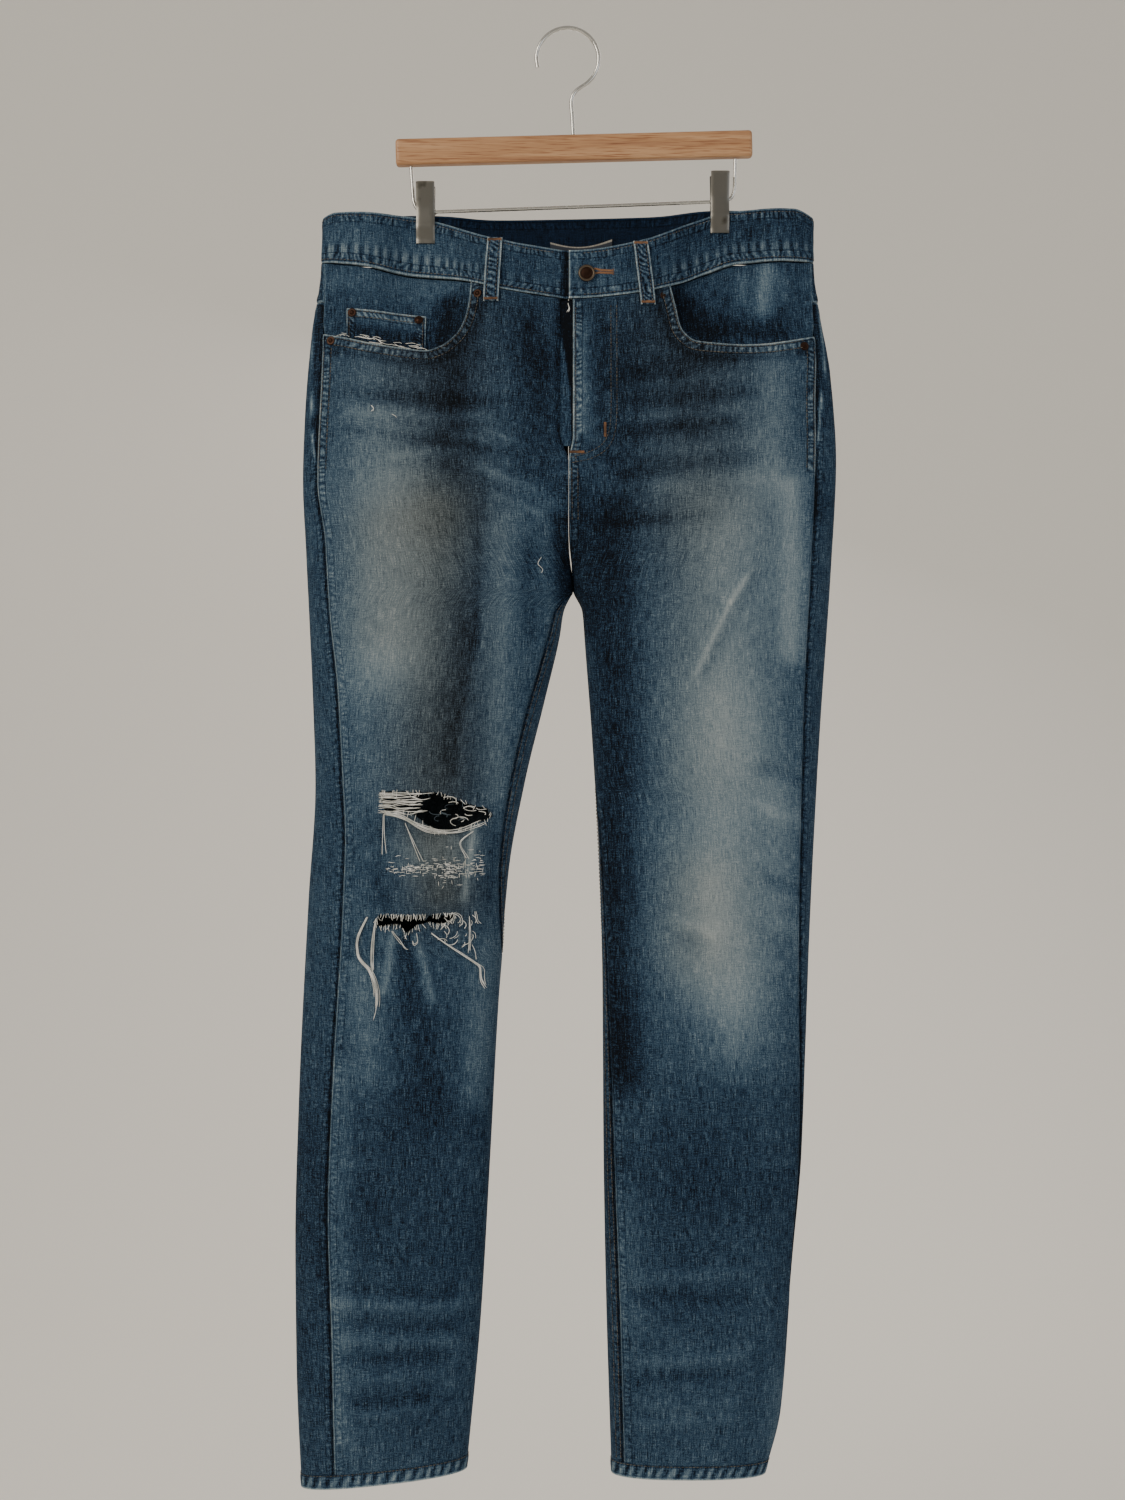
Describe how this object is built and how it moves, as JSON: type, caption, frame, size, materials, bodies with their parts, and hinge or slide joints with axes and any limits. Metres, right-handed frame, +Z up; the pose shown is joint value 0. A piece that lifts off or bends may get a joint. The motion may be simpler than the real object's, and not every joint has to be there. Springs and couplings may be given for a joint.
{
  "type": "ripped jeans on a clip hanger",
  "caption": "Slim, faded denim jeans with a torn knee, hanging by the waistband from a wooden clip hanger.",
  "frame": {"origin": "inside the top of the hanger's hook, where a rail would touch it", "axes": "+Z up along the garment's length, -Y out of the front of the jeans, +X towards the wearer's left"},
  "size_m": [0.4688, 0.0899, 1.2657],
  "materials": {
    "denim": "indigo twill, washed down and whiskered, rough and matte",
    "copper_hardware": "copper-plated button and rivets, aged",
    "nickel": "nickel-plated steel clips, brushed",
    "steel_wire": "polished steel wire",
    "beech": "clear-oiled beech, straight grain",
    "label_tape": "blank woven tape"
  },
  "bodies": {
    "root": {"leg_front_r": "denim", "leg_back_r": "denim", "yoke_r": "denim", "back_pocket_r": "denim", "hem_r": "denim", "pocket_facing_r": "denim", "leg_front_l": "denim", "leg_back_l": "denim", "yoke_l": "denim", "back_pocket_l": "denim", "hem_l": "denim", "pocket_facing_l": "denim", "waistband": "denim", "fly_shield": "denim", "coin_pocket": "denim", "waist_label": "label_tape", "belt_loop_front_r": "denim", "belt_loop_front_l": "denim", "belt_loop_back_r": "denim", "belt_loop_back_c": "denim", "belt_loop_back_l": "denim", "button": "copper_hardware", "rivet_side_r": "copper_hardware", "rivet_mouth_r": "copper_hardware", "rivet_coin_outer": "copper_hardware", "rivet_coin_inner": "copper_hardware", "rivet_mouth_l": "copper_hardware", "rivet_side_l": "copper_hardware", "hanger_bar": "beech", "hanger_hook": "steel_wire", "clip_rail": "steel_wire", "clip_front_r": "nickel", "clip_back_r": "nickel", "clip_spring_r": "nickel", "clip_front_l": "nickel", "clip_back_l": "nickel", "clip_spring_l": "nickel"}
  },
  "joints": []
}
